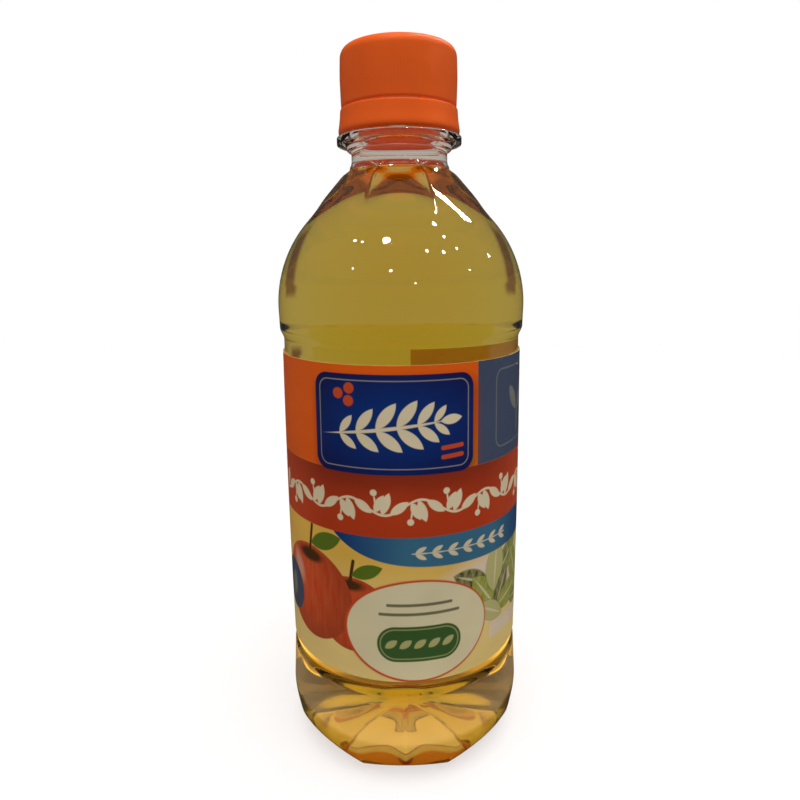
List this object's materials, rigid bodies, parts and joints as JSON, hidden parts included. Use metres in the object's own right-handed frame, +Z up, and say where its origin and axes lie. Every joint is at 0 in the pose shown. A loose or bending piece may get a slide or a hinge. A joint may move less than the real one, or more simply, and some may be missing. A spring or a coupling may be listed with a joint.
{
  "type": "vinegar bottle",
  "caption": "Shut clear plastic bottle of golden vinegar with a fluted shoulder, a ribbed orange screw cap with tamper band and a printed wrap label.",
  "frame": {"origin": "centre of the bottle's base, on the plane of its standing ring", "axes": "+Z up along the bottle's axis; -Y towards the viewer, through the middle of the label; +X to the viewer's right"},
  "size_m": [0.067, 0.067, 0.1898],
  "materials": {
    "clear_pet": "clear, glossy",
    "vinegar": "clear golden liquid",
    "orange_cap": "satin moulded plastic",
    "printed_label": "printed film, semi-gloss"
  },
  "bodies": {
    "root": {"bottle": "clear_pet", "vinegar": "vinegar", "cap": "orange_cap", "label": "printed_label"}
  },
  "joints": []
}
